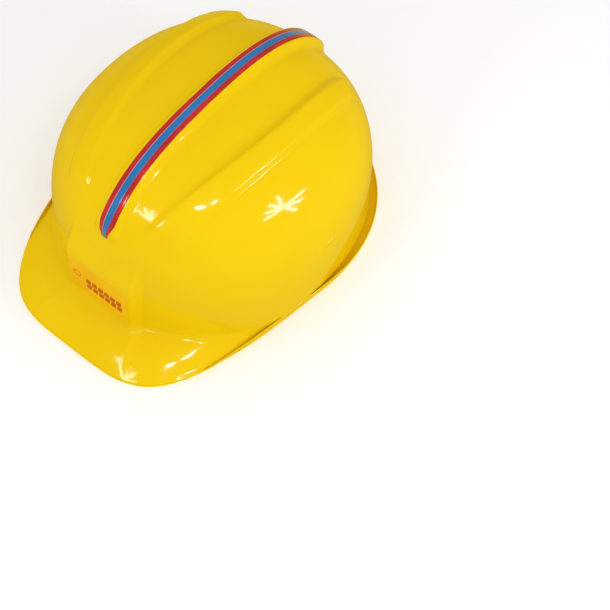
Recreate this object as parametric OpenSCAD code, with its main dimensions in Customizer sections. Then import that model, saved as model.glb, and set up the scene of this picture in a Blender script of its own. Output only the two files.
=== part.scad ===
// Child-size safety helmet with three crown ridges and a plastic head harness.
// Millimetres. +Z up, the peak points to -Y, the wearer's left is +X.
// The origin lies on the resting plane, under the middle of the brim outline.

/* [Shell] */
// Outer width of the dome at its foot
dome_w = 184; // [160:1:230]
// Reach of the dome foot in front of the headband centre
dome_front = 104; // [85:1:135]
// Reach of the dome foot behind the headband centre
dome_rear = 109; // [85:1:135]
// Height of the dome from its foot to the crown
dome_h = 97; // [75:1:125]
// Height of the dome foot above the resting plane
foot_z = 24; // [18:1:34]
// How far the crown leans forward
crown_shift = 10; // [0:0.5:16]
// Wall thickness of the shell
wall = 2; // [1.4:0.1:3.5]

/* [Brim] */
// Outer width of the brim in line with the headband centre
brim_w = 189; // [170:1:245]
// Reach of the peak in front of the headband centre
peak_reach = 135; // [115:1:170]
// Reach of the rear lip behind the headband centre
rear_reach = 115; // [98:1:140]
// Height of the upturned rear lip
lip_z = 5.5; // [3:0.5:9]
// Rise of the brim edge at the sides
brim_arch = 3; // [0:0.5:8]

/* [Ridges] */
// Half width of the middle ridge on top
mid_top = 5.5; // [4:0.5:9]
// Half width of the middle ridge at its base
mid_base = 10; // [8:0.5:15]
// Inner edge of the side ridges, from the middle plane
side_in = 41; // [30:1:50]
// Outer edge of the side ridges, from the middle plane
side_out = 54; // [46:1:70]
// Height of the ridges at their rear ends
ridge_h = 5; // [2:0.5:7]

/* [Badge] */
// Width of the flat badge boss
boss_w = 49; // [30:1:60]
// Height of the top edge of the badge boss
boss_top = 54; // [40:1:62]
// How far the badge boss stands in front of the dome foot
boss_out = 2.6; // [1.5:0.1:5]
// Width of the adhesive tape over the middle ridge
tape_w = 9.8; // [5:0.2:12]

/* [Headband] */
// Outer radius of the headband
band_r = 83; // [72:0.5:90]
// Thickness of the headband and its tabs
band_t = 1.2; // [0.8:0.1:2]
// Height of the headband
band_h = 26; // [20:0.5:32]
// Lower edge of the headband above the resting plane
band_z = 5; // [3:0.5:10]
// Angle between two size holes along the strap
hole_step = 6.2; // [5:0.1:8]
// Diameter of a size hole
hole_d = 3.6; // [2.5:0.1:5]
// Number of size holes
hole_n = 10; // [6:1:12]

/* [Crown cradle] */
// Radius of the crown disc
disc_r = 26; // [18:0.5:34]
// Height of the crown disc above the resting plane
disc_z = 83; // [66:1:92]
// Width of the cradle arms
arm_w = 10; // [6:0.5:14]
// Height at which the side tabs hook onto the shell lugs
hook_z = 50; // [44:1:58]
// Height at which the nape tab hooks onto its lug
nape_hook_z = 62; // [54:1:68]

/* [Hidden] */
dome_p = 2.6;
dome_q = 2.65;
plan_n = 2.16;
peak_m = 4.1;
rear_m = 1.88;
taper = 0.18;
map_k = 0.42;
half_w = dome_w / 2;
face_y = -(dome_front + boss_out);
crown_z = foot_z + dome_h;
strap_in = band_r + 0.6;
strap_out = strap_in + band_t;
strap_lo = band_z + 3;
strap_hi = band_z + band_h - 3;
strap_mid = (strap_lo + strap_hi) / 2;
arm_end = band_r - band_t - 0.5;
side_lip = half_w - 16;
rear_lip = rear_wall(nape_hook_z) - 14;
tab_w = 18;
slot_w = 12;
slot_h = 8;

// Stations of the dome grid: across (u) and along (v), from the middle out.
u_half = [0, 0.022, 0.045, 0.09, 0.14, 0.185, 0.211, 0.235, 0.27, 0.307,
          0.335, 0.39, 0.46, 0.54, 0.63, 0.72, 0.81, 0.9, 0.96, 1];
v_half = [0, 0.09, 0.18, 0.27, 0.36, 0.44, 0.49, 0.52, 0.56, 0.61,
          0.66, 0.71, 0.76, 0.8, 0.835, 0.87, 0.9, 0.94, 0.975, 1];
nh = len(u_half) - 1;
ng = 2 * nh + 1;
us = [for (i = [-nh:nh]) sign(i) * u_half[abs(i)]];
vs = [for (i = [-nh:nh]) sign(i) * v_half[abs(i)]];

// Brim section from the dome foot to the edge, for the side and for the peak:
// [share of the overhang, height share] pairs, then the inward and downward
// shares of the wall thickness.
brim_rows = [
  [0.02, 0.62, 0.01, 0.74, 1.0, 0.1],
  [0.06, 0.30, 0.03, 0.62, 1.0, 0.3],
  [0.16, 0.08, 0.10, 0.55, 0.8, 0.7],
  [0.36, 0.00, 0.25, 0.49, 0.4, 0.95],
  [0.60, 0.00, 0.50, 0.37, 0.1, 1.0],
  [0.80, 0.05, 0.74, 0.21, -0.2, 1.0],
  [0.94, 0.14, 0.92, 0.07, 0.0, 1.0],
  [1.00, 0.17, 1.00, 0.00, 0.0, 1.0]];
nr = len(brim_rows);

function spow(b, e) = sign(b) * pow(abs(b), e);
function clamp01(t) = max(0, min(1, t));
function smooth(t) = let (c = clamp01(t)) c * c * (3 - 2 * c);
function unit(v) = v / norm(v);

// Square grid station to a disc station: radius share and plan angle.
function disc_u(u, v) = [u * sqrt(1 - map_k * v * v), v * sqrt(1 - (1 - map_k) * u * u)];

// Height of the ridges over a dome point with side-view angle a.
function rise(a) = ridge_h * (0.55 + 0.45 * smooth((a + 55) / 95));
function mid_ridge(x, a) =
  rise(a) * (1 - smooth((abs(x) - mid_top) / (mid_base - mid_top)))
  * smooth((a + 59) / 5) * (1 - smooth((a - 62) / 4));
function side_ridge(x, y, a) =
  let (i = side_in * (1 - 0.37 * pow((y - 30) / 100, 2)),
       o = side_out * (1 - 0.25 * pow((y - 25) / 100, 2)))
  0.8 * rise(a) * smooth((abs(x) - i + 2) / 3.5) * (1 - smooth((abs(x) - o + 2) / 4))
  * smooth((a + 52) / 8) * (1 - smooth((a - 47) / 4));

// Dome point for a disc station, with the shell thinned by w.
function dome_at(m, w) =
  let (r = min(1, norm(m)), f = r == 0 ? 0 : atan2(m[1], m[0]), t = 90 * r,
       c = cos(f), s = sin(f),
       ax = half_w - w, by = (s < 0 ? dome_front : dome_rear) - w, hz = dome_h - w,
       rho = pow(sin(t), 2 / dome_p), zz = pow(max(0, cos(t)), 2 / dome_q),
       x = rho * ax * spow(c, 2 / plan_n),
       yp = rho * by * spow(s, 2 / plan_n),
       nv = unit([spow(x / ax, dome_p - 1) / ax, spow(yp / by, dome_p - 1) / by,
                  pow(max(zz, 0.0001), dome_q - 1) / hz]),
       a = atan2(yp, hz * zz),
       k = half_w / ax, d = mid_ridge(x * k, a) + side_ridge(x * k, yp, a))
  boss([x, yp - crown_shift * zz * zz, foot_z + hz * zz] + d * nv, w);

// Pulls a point out to the flat badge boss where the boss stands proud.
function boss(p, w) =
  let (side = max(0, abs(p[0]) - boss_w / 2 + w), top = max(0, p[2] - boss_top),
       yb = face_y + w + 1.5 * side + 0.3 * top + 0.012 * pow(top, 2))
  p[1] < 0 && p[2] < boss_top + 20 ? [p[0], min(p[1], yb), p[2]] : p;

// Distance of the rear inner wall from the middle axis at height z.
function rear_wall(z) = lookup(z, [for (v = [0.4:0.02:1])
  let (p = dome_at([0, v], wall)) [p[2], p[1]]]);

// Brim edge point at a plan angle.
function edge_at(f) =
  let (c = cos(f), s = sin(f), e = s < 0 ? 2 / peak_m : 2 / rear_m,
       len = s < 0 ? peak_reach : rear_reach, y = len * spow(s, e))
  [brim_w / 2 * (1 + taper * y / 100) * spow(c, e), y,
   brim_arch * max(0, 1 - pow(y / (0.85 * len), 2))];

// Brim point on row k at a plan angle, thinned by w.
function brim_at(f, k, w) =
  let (m = [cos(f), sin(f)], b = dome_at(m, 0), e = edge_at(f), q = brim_rows[k],
       front = smooth((-m[1] - 0.15) / 0.8),
       g = q[0] * (1 - front) + q[2] * front,
       h = q[1] * (1 - front) + q[3] * front,
       hs = k < 4 ? foot_z - wall : (foot_z - wall) * (1 - front) * (lip_z - wall) / (0.17 * (foot_z - wall))
            + (foot_z - wall) * front,
       z = wall + (k < 4 ? foot_z - wall : hs) * h + e[2] * min(1, k / 4),
       lean = unit([spow(m[0], 2 - 2 / plan_n) / half_w,
                    spow(m[1], 2 - 2 / plan_n) / (m[1] < 0 ? dome_front : dome_rear)]))
  [b[0] + (e[0] - b[0]) * g - lean[0] * w * q[4],
   b[1] + (e[1] - b[1]) * g - lean[1] * w * q[4],
   z - w * q[5]];

// Shell mesh: outer dome grid and brim rows, then the same for the inside.
rim_ids = concat([for (i = [0:ng - 2]) i], [for (j = [0:ng - 2]) j * ng + ng - 1],
                 [for (i = [ng - 1:-1:1]) (ng - 1) * ng + i], [for (j = [ng - 1:-1:1]) j * ng]);
nb = len(rim_ids);
function rim_f(n) =
  let (id = rim_ids[n], m = disc_u(us[id % ng], vs[floor(id / ng)])) atan2(m[1], m[0]);
function skin(w) = concat(
  [for (v = vs, u = us) dome_at(disc_u(u, v), w)],
  [for (k = [0:nr - 1], n = [0:nb - 1]) brim_at(rim_f(n), k, w)]);
half_n = ng * ng + nr * nb;
function loop_id(k, n) = k < 0 ? rim_ids[n % nb] : ng * ng + k * nb + n % nb;
function quad(a, b, c, d, o, flip) =
  flip ? [[a + o, c + o, b + o], [a + o, d + o, c + o]]
       : [[a + o, b + o, c + o], [a + o, c + o, d + o]];
function skin_faces(o, flip) = concat(
  [for (j = [0:ng - 2], i = [0:ng - 2])
     each quad(j * ng + i, j * ng + i + 1, (j + 1) * ng + i + 1, (j + 1) * ng + i, o, flip)],
  [for (k = [-1:nr - 2], n = [0:nb - 1])
     each quad(loop_id(k + 1, n), loop_id(k + 1, n + 1), loop_id(k, n + 1), loop_id(k, n), o, flip)]);
edge_faces = [for (n = [0:nb - 1]) each
  [[loop_id(nr - 1, n), loop_id(nr - 1, n + 1) + half_n, loop_id(nr - 1, n + 1)],
   [loop_id(nr - 1, n), loop_id(nr - 1, n) + half_n, loop_id(nr - 1, n + 1) + half_n]]];

// Outline of a strip of thickness t along a list of points.
function side_of(p, i, t) =
  let (a = p[max(0, i - 1)], b = p[min(len(p) - 1, i + 1)], d = unit(b - a))
  p[i] + [-d[1], d[0]] * t;
function strip(p, lo, hi) = concat(
  [for (i = [0:len(p) - 1]) side_of(p, i, hi)],
  [for (i = [len(p) - 1:-1:0]) side_of(p, i, lo)]);

// Middle line of the dome top, from the front of the ridge to its rear end.
tape_pts = [for (v = vs) let (p = dome_at([0, v], 0), a = atan2(p[1], p[2] - foot_z))
            if (a > -60 && a < 61) [p[1], p[2]]];

// Cradle arm in its radial plane, from the disc to a given end; f makes it straighter.
function arm_pts(r1, z1, f = 0) = [for (i = [0:14])
  let (t = 6 * i, p = 0.9 + f, q = 0.8 + f, low = pow(cos(84), q))
  [disc_r - 4 + (r1 - disc_r + 4) * pow(sin(t), p) / pow(sin(84), p),
   z1 + (disc_z + 0.6 - z1) * (pow(cos(t), q) - low) / (1 - low)]];

// Moves a piece so that the brim outline is centred on the origin.
module placed() {
  translate([0, (peak_reach - rear_reach) / 2, 0])
    children();
}

module radial_strip(a, w, pts, t) {
  rotate([0, 0, a])
    rotate([90, 0, 0])
      linear_extrude(height = w, center = true)
        polygon(strip(pts, -t / 2, t / 2));
}

// Ring sector; angles run from the peak towards the wearer's left.
module sector(a0, a1, r0, r1, z0, z1) {
  rotate([0, 0, a0 - 90])
    rotate_extrude(angle = a1 - a0, $fn = 180)
      translate([r0, z0])
        square([r1 - r0, z1 - z0]);
}

// Round bar pointing away from the middle axis.
module radial_bar(a, z, r0, r1, d) {
  rotate([0, 0, a - 90])
    translate([r0, 0, z])
      rotate([0, 90, 0])
        cylinder(h = r1 - r0, d = d, $fn = 32);
}

// Injection-moulded shell: dome, ridges, badge boss, peak and rolled lip.
module shell() {
  color("gold")
    polyhedron(points = concat(skin(0), skin(wall)),
               faces = [for (f = concat(skin_faces(0, false), skin_faces(half_n, true), edge_faces))
                        [f[0], f[2], f[1]]],
               convexity = 12);
}

// One hooked lug inside the shell wall.
module lug(a, lip, out, z) {
  rotate([0, 0, a - 90]) {
    translate([lip, -4, z - 2.5])
      cube([out - lip, 8, 5]);
    translate([lip, -4, z - 2.5])
      cube([1.5, 8, 7]);
  }
}

// Three lugs moulded into the shell, holding the harness tabs.
module liner_lugs() {
  color("gold") {
    lug(90, side_lip, half_w - 2, hook_z);
    lug(-90, side_lip, half_w - 2, hook_z);
    lug(180, rear_lip, rear_wall(nape_hook_z - 1), nape_hook_z);
  }
}

// Adhesive tape laid over the middle ridge.
module tape_red() {
  color("crimson")
    rotate([90, 0, 90])
      linear_extrude(height = tape_w, center = true)
        polygon(strip(tape_pts, -0.15, 0.3));
}

// Blue stripe printed along the tape.
module tape_blue() {
  color("royalblue")
    rotate([90, 0, 90])
      linear_extrude(height = tape_w * 0.42, center = true)
        polygon(strip(tape_pts, 0.3, 0.45));
}

// Amber label in the badge boss.
module badge_label() {
  color("orange")
    translate([-boss_w / 2 + 1.5, face_y - 0.3, 20])
      cube([boss_w - 3, 0.5, boss_top - 21.5]);
}

// Two rows of plain bars and a ring, standing in for the printed wording.
module badge_marks() {
  color("firebrick")
    translate([-boss_w / 2 + 1.5, face_y - 0.5, 20]) {
      for (i = [0:5]) {
        translate([13 + i * 4.8, 0, 14])
          cube([3.8, 0.2, 5]);
        translate([13.4 + i * 4.8, 0, 8.2])
          cube([3.8, 0.2, 5]);
      }
      translate([6, 0.2, 18])
        rotate([90, 0, 0])
          difference() {
            cylinder(h = 0.2, d = 6, $fn = 32);
            translate([0, 0, -0.1])
              cylinder(h = 0.4, d = 4.6, $fn = 32);
          }
    }
}

// Crown disc with its eight arms.
module crown_cradle() {
  color("ivory")
    difference() {
      union() {
        translate([0, 0, disc_z])
          cylinder(h = band_t, r = disc_r, $fn = 96);
        for (a = [-34, 34, 146, 214])
          radial_strip(a, arm_w, concat(arm_pts(arm_end, band_z + band_h + 3),
            [[arm_end, band_z + band_h - 4]]), band_t);
        for (a = [0, 180])
          radial_strip(a, arm_w, arm_pts(side_lip + 1.2, hook_z + 9), band_t);
        radial_strip(90, arm_w + 1, arm_pts(rear_lip + 1.2, nape_hook_z + 9), band_t);
        radial_strip(-90, arm_w, concat(arm_pts(arm_end, band_z + band_h - 1, 0.6),
          [[arm_end, band_z + band_h - 8]]), band_t);
      }
      translate([0, 0, disc_z - 1])
        cylinder(h = 4, d = 4, $fn = 24);
    }
}

// Slotted tab: hooks over a lug and runs on to the headband.
module hook_tab(a, pts, w, z) {
  difference() {
    radial_strip(a, w, pts, band_t);
    rotate([0, 0, a])
      translate([side_lip, -slot_w / 2, z - slot_h / 2])
        cube([60, slot_w, slot_h]);
  }
}

function side_tab_pts() = [[side_lip + 1.4, hook_z + 12], [side_lip + 2.6, hook_z + 4],
  [side_lip + 2.9, hook_z - 6], [arm_end, band_z + band_h + 4], [arm_end, band_z + band_h - 6]];

// Left tab of the harness.
module side_tab_left() {
  color("ivory")
    hook_tab(0, side_tab_pts(), tab_w - 2, hook_z);
}

// Right tab of the harness.
module side_tab_right() {
  color("ivory")
    hook_tab(180, side_tab_pts(), tab_w - 2, hook_z);
}

// Nape tab: a cross bar behind the two band ends and a slotted upright.
module nape_tab() {
  color("ivory")
    union() {
      sector(164, 196, band_r, band_r + band_t, band_z, band_z + band_h);
      hook_tab(90, [[rear_lip + 1.4, nape_hook_z + 12], [rear_lip + 2.6, nape_hook_z + 4],
        [rear_lip + 2.6, nape_hook_z - 8], [band_r + 1.1, band_z + band_h + 2],
        [band_r + 0.9, band_z + band_h - 8]], tab_w, nape_hook_z);
    }
}

// Left half of the headband, from the nape to the strap.
module headband_left() {
  color("ivory")
    sector(40, 172.5, band_r - band_t, band_r, band_z, band_z + band_h);
}

// Right half of the headband, from the nape to the front keeper.
module headband_right() {
  color("ivory")
    sector(-172.5, 16, band_r - band_t, band_r, band_z, band_z + band_h);
}

// One loop on the right band end that the strap slides through.
module keeper(a0, a1) {
  sector(a0, a1, strap_out + 0.4, strap_out + 0.4 + band_t, band_z - 0.5, band_z + band_h + 1);
  sector(a0, a1, band_r, strap_out + 0.4, band_z - 0.5, strap_lo - 0.6);
  sector(a0, a1, band_r, strap_out + 0.4, strap_hi + 0.6, band_z + band_h + 1);
}

// Wide loop at the end of the band and a narrow loop further on.
module strap_keepers() {
  color("ivory") {
    keeper(4, 16);
    keeper(-17.5, -13.5);
  }
}

// Low pegs under the strap that the size holes snap onto.
module size_pegs() {
  color("ivory")
    for (i = [0, 2])
      radial_bar(9.5 - hole_step * i, strap_mid, band_r - 0.2, band_r + 0.3, hole_d - 0.8);
}

// Perforated strap with a rounded tongue; slides round the head to set the size.
module size_strap() {
  color("ivory")
    difference() {
      sector(-37, 75, strap_in, strap_out, strap_lo, strap_hi);
      difference() {
        rotate([0, 0, -130])
          translate([strap_in - 4, 0, strap_lo - 2])
            cube([12, 14.5, strap_hi - strap_lo + 4]);
        radial_bar(-30.4, strap_mid, strap_in - 10, strap_out + 10, strap_hi - strap_lo);
      }
      for (i = [0:hole_n - 1])
        radial_bar(34.3 - hole_step * i, strap_mid, strap_in - 3, strap_out + 3, hole_d);
    }
}

// Studs that hold the band ends to the nape tab.
module nape_studs() {
  color("ivory")
    for (a = [167.2, 192.8]) {
      radial_bar(a, band_z + 10, band_r - band_t - 1, band_r + band_t + 0.5, 3.4);
      radial_bar(a, band_z + 10, band_r - band_t - 1.4, band_r - band_t + 0.1, 6);
    }
}

// Paper label at the nape.
module care_label() {
  color("white")
    translate([3, 0, 0])
      rotate([90, 0, 90])
        linear_extrude(height = 28, center = true)
          polygon(strip([[band_r + band_t + 0.1, band_z + 9], [band_r + 6, band_z + 4],
            [band_r + 15, band_z - 1.5]], -0.2, 0.2));
}

placed() shell();
placed() liner_lugs();
placed() tape_red();
placed() tape_blue();
placed() badge_label();
placed() badge_marks();
placed() crown_cradle();
placed() side_tab_left();
placed() side_tab_right();
placed() nape_tab();
placed() headband_left();
placed() headband_right();
placed() strap_keepers();
placed() size_pegs();
placed() size_strap();
placed() nape_studs();
placed() care_label();
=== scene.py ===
import math
import bpy
import numpy as np
from mathutils import Matrix, Vector
from mathutils.geometry import delaunay_2d_cdt


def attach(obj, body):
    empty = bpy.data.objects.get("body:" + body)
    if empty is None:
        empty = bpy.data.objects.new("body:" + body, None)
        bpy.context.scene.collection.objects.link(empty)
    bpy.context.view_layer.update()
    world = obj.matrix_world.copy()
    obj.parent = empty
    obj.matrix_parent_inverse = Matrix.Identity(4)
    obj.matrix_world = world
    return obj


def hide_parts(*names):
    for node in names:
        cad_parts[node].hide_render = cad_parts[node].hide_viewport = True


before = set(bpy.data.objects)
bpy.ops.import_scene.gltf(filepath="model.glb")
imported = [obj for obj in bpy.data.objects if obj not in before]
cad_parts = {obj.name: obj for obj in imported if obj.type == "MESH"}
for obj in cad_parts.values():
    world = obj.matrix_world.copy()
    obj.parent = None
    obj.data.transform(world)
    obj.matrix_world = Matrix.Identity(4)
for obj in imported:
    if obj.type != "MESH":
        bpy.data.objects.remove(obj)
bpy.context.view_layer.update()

# ---------------------------------------------------------------- shell ----
# The hard shell is one injection moulding in glossy yellow polypropylene:
# dome, three crown ridges, badge boss, peak and rolled lip, 2 mm thick.
# It is built here as two skins, outer and inner, closed at a rounded edge.
HEAD_Y = 10.0          # centre of the headband, behind the outline's middle
DOME_W, DOME_FRONT, DOME_REAR, DOME_H = 92.0, 104.0, 109.0, 97.0
FOOT_Z, WALL, CROWN_SHIFT = 24.0, 2.0, 10.0
BRIM_HALF, PEAK_REACH, REAR_REACH = 94.5, 135.0, 115.0
LIP_Z, BRIM_ARCH, TAPER = 5.5, 3.0, 0.18
DOME_P, DOME_Q, PLAN_N, PEAK_M, REAR_M, MAP_K = 2.6, 2.65, 2.16, 4.1, 1.88, 0.42
MID_TOP, MID_BASE, SIDE_IN, SIDE_OUT, RIDGE_H = 5.5, 10.0, 41.0, 54.0, 5.0
BOSS_W, BOSS_TOP, FACE_Y = 49.0, 54.0, -106.6
U_STATIONS = [0, 0.022, 0.045, 0.09, 0.14, 0.185, 0.211, 0.235, 0.27, 0.307,
              0.335, 0.39, 0.46, 0.54, 0.63, 0.72, 0.81, 0.9, 0.96, 1]
V_STATIONS = [0, 0.09, 0.18, 0.27, 0.36, 0.44, 0.49, 0.52, 0.56, 0.61,
              0.66, 0.71, 0.76, 0.8, 0.835, 0.87, 0.9, 0.94, 0.975, 1]
BRIM_ROWS = [[.02, .62, .01, .74, 1, .1], [.06, .30, .03, .62, 1, .3],
             [.16, .08, .10, .55, .8, .7], [.36, 0, .25, .49, .4, .95],
             [.60, 0, .50, .37, .1, 1], [.80, .05, .74, .21, -.2, 1],
             [.94, .14, .92, .07, 0, 1], [1, .17, 1, 0, 0, 1]]


def spow(base, power):
    return np.sign(base) * np.abs(base) ** power


def smooth(t):
    t = np.clip(t, 0, 1)
    return t * t * (3 - 2 * t)


def softmin(a, b, k):
    return -k * np.logaddexp(-a / k, -b / k)


def softmax(a, b, k):
    return k * np.logaddexp(a / k, b / k)


def ridge_rise(lean):
    return RIDGE_H * (0.55 + 0.45 * smooth((lean + 55) / 95))


def ridges(x, y, lean):
    middle = (1 - smooth((np.abs(x) - MID_TOP) / (MID_BASE - MID_TOP)))
    middle = middle * smooth((lean + 59) / 5) * (1 - smooth((lean - 62) / 4))
    inner = SIDE_IN * (1 - 0.37 * ((y - 30) / 100) ** 2)
    outer = SIDE_OUT * (1 - 0.25 * ((y - 25) / 100) ** 2)
    side = smooth((np.abs(x) - inner + 2) / 3.5) * (1 - smooth((np.abs(x) - outer + 2) / 4))
    side = 0.8 * side * smooth((lean + 52) / 8) * (1 - smooth((lean - 47) / 4))
    return ridge_rise(lean) * (middle + side)


def dome(m, inset):
    """Dome points for plan stations m, thinned by inset."""
    r = np.minimum(1, np.linalg.norm(m, axis=1))
    plan = np.arctan2(m[:, 1], m[:, 0])
    tilt, c, s = np.pi / 2 * r, np.cos(plan), np.sin(plan)
    ax, hz = DOME_W - inset, DOME_H - inset
    by = np.where(s < 0, DOME_FRONT, DOME_REAR) - inset
    rho = np.sin(tilt) ** (2 / DOME_P)
    zz = np.maximum(np.cos(tilt), 0) ** (2 / DOME_Q)
    x, y = rho * ax * spow(c, 2 / PLAN_N), rho * by * spow(s, 2 / PLAN_N)
    n = np.stack([spow(x / ax, DOME_P - 1) / ax, spow(y / by, DOME_P - 1) / by,
                  np.maximum(zz, 1e-4) ** (DOME_Q - 1) / hz], 1)
    n /= np.linalg.norm(n, axis=1)[:, None]
    lean = np.degrees(np.arctan2(y, hz * zz))
    rise = ridges(x * DOME_W / ax, y, lean)
    p = np.stack([x, y - CROWN_SHIFT * zz ** 2, FOOT_Z + hz * zz], 1) + n * rise[:, None]
    # the flat badge boss stands proud of the front
    side = softmax(np.abs(p[:, 0]) - BOSS_W / 2 + inset, 0 * rise, 0.5)
    top = softmax(p[:, 2] - BOSS_TOP, 0 * rise, 0.6)
    face = FACE_Y + inset + 1.5 * side + 0.3 * top + 0.012 * top ** 2
    boss = (p[:, 1] < 0) & (p[:, 2] < BOSS_TOP + 20)
    p[boss, 1] = softmin(p[boss, 1], face[boss], 0.45)
    return p


def brim_rings(plan, inset):
    """Rows of brim points from the dome foot to the lip, thinned by inset."""
    c, s = np.cos(plan), np.sin(plan)
    foot = dome(np.stack([c, s], 1), 0)
    power = np.where(s < 0, 2 / PEAK_M, 2 / REAR_M)
    reach = np.where(s < 0, PEAK_REACH, REAR_REACH)
    ey = reach * spow(s, power)
    ex = BRIM_HALF * (1 + TAPER * ey / 100) * spow(c, power)
    ez = BRIM_ARCH * np.maximum(0, 1 - (ey / (0.85 * reach)) ** 2)
    front = smooth((-s - 0.15) / 0.8)
    drop = FOOT_Z - WALL
    lean = np.stack([spow(c, 2 - 2 / PLAN_N) / DOME_W,
                     spow(s, 2 - 2 / PLAN_N) / np.where(s < 0, DOME_FRONT, DOME_REAR)], 1)
    lean /= np.linalg.norm(lean, axis=1)[:, None]
    rows = [dome(np.stack([c, s], 1), inset)]
    for k, (g0, h0, g1, h1, thin_in, thin_down) in enumerate(BRIM_ROWS):
        g, h = g0 * (1 - front) + g1 * front, h0 * (1 - front) + h1 * front
        lift = drop if k < 4 else drop * front + (1 - front) * (LIP_Z - WALL) / 0.17
        z = WALL + lift * h + ez * min(1, k / 4)
        rows.append(np.stack([foot[:, 0] + (ex - foot[:, 0]) * g - lean[:, 0] * inset * thin_in,
                              foot[:, 1] + (ey - foot[:, 1]) * g - lean[:, 1] * inset * thin_in,
                              z - inset * thin_down], 1))
    return np.array(rows)


def refine(rows, parts):
    """More rows on a smooth curve through the given ones."""
    n, out = len(rows), []
    for i in range(n - 1):
        a, b = rows[i], rows[i + 1]
        before = rows[i - 1] if i else 2 * a - b
        after = rows[i + 2] if i + 2 < n else 2 * b - a
        for t in np.arange(parts) / parts:
            out.append(0.5 * (2 * a + (b - before) * t
                              + (2 * before - 5 * a + 4 * b - after) * t ** 2
                              + (3 * a - before - 3 * b + after) * t ** 3))
    return out + [rows[-1]]


def stations(half, parts):
    half = np.interp(np.arange((len(half) - 1) * parts + 1) / parts, range(len(half)), half)
    half = np.concatenate([[0], np.convolve(half, [0.25, 0.5, 0.25], "valid"), [1]])
    return np.concatenate([-half[:0:-1], half])


def make_mesh(name, points, faces, flat=False):
    mesh = bpy.data.meshes.new(name)
    mesh.from_pydata((np.asarray(points) * 0.001).tolist(), [], faces)
    mesh.validate()
    mesh.polygons.foreach_set("use_smooth", [not flat] * len(mesh.polygons))
    piece = bpy.data.objects.new(name, mesh)
    bpy.context.collection.objects.link(piece)
    return piece


def shell_points_and_faces():
    u, v = stations(U_STATIONS, 4), stations(V_STATIONS, 4)
    n = len(u)
    uu, vv = [a.ravel() for a in np.meshgrid(u, v)]
    m = np.stack([uu * np.sqrt(1 - MAP_K * vv ** 2), vv * np.sqrt(1 - (1 - MAP_K) * uu ** 2)], 1)
    rim = ([i for i in range(n - 1)] + [j * n + n - 1 for j in range(n - 1)]
           + [(n - 1) * n + i for i in range(n - 1, 0, -1)] + [j * n for j in range(n - 1, 0, -1)])
    plan = np.arctan2(m[rim, 1], m[rim, 0])
    points, faces, edge = [], [], []
    for inset in (0, WALL):
        start = sum(len(p) for p in points)
        points.append(dome(m, inset))
        for j in range(n - 1):
            for i in range(n - 1):
                a = start + j * n + i
                quad = (a, a + 1, a + n + 1, a + n)
                faces.append(quad if inset == 0 else quad[::-1])
        before = [start + i for i in rim]
        for row in refine(brim_rings(plan, inset), 5)[1:]:
            start = sum(len(p) for p in points)
            points.append(row)
            now = list(range(start, start + len(row)))
            for i in range(len(row)):
                j = (i + 1) % len(row)
                quad = (before[i], now[i], now[j], before[j])
                faces.append(quad if inset == 0 else quad[::-1])
            before = now
        edge.append(before)
    # rounded edge from the outer skin's last row to the inner skin's
    all_points = np.concatenate(points)
    top, low = all_points[edge[0]], all_points[edge[1]]
    out = np.roll(top, -1, 0) - np.roll(top, 1, 0)
    out = np.stack([out[:, 1], -out[:, 0], 0 * out[:, 0]], 1)
    out /= np.linalg.norm(out, axis=1)[:, None]
    mid, half = (top + low) / 2, (top - low) / 2
    before = edge[0]
    extra = []
    for turn in np.radians([30, 60, 90, 120, 150]):
        row = mid + half * math.cos(turn) + out * (math.sin(turn) - 1) * 0.9
        start = len(all_points) + sum(len(p) for p in extra)
        extra.append(row)
        now = list(range(start, start + len(row)))
        for i in range(len(row)):
            j = (i + 1) % len(row)
            faces.append((before[i], now[i], now[j], before[j]))
        before = now
    for i in range(len(before)):
        j = (i + 1) % len(before)
        faces.append((before[i], edge[1][i], edge[1][j], before[j]))
    for ids in edge:
        all_points[ids] -= out * 0.9
    all_points = np.concatenate([all_points] + extra)
    all_points[:, 2] = np.maximum(all_points[:, 2], 0)
    return all_points, faces


def in_place(points):
    return np.asarray(points) + [0, HEAD_Y, 0]


shell_points, shell_faces = shell_points_and_faces()
shell = make_mesh("shell_moulding", in_place(shell_points), shell_faces)


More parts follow.
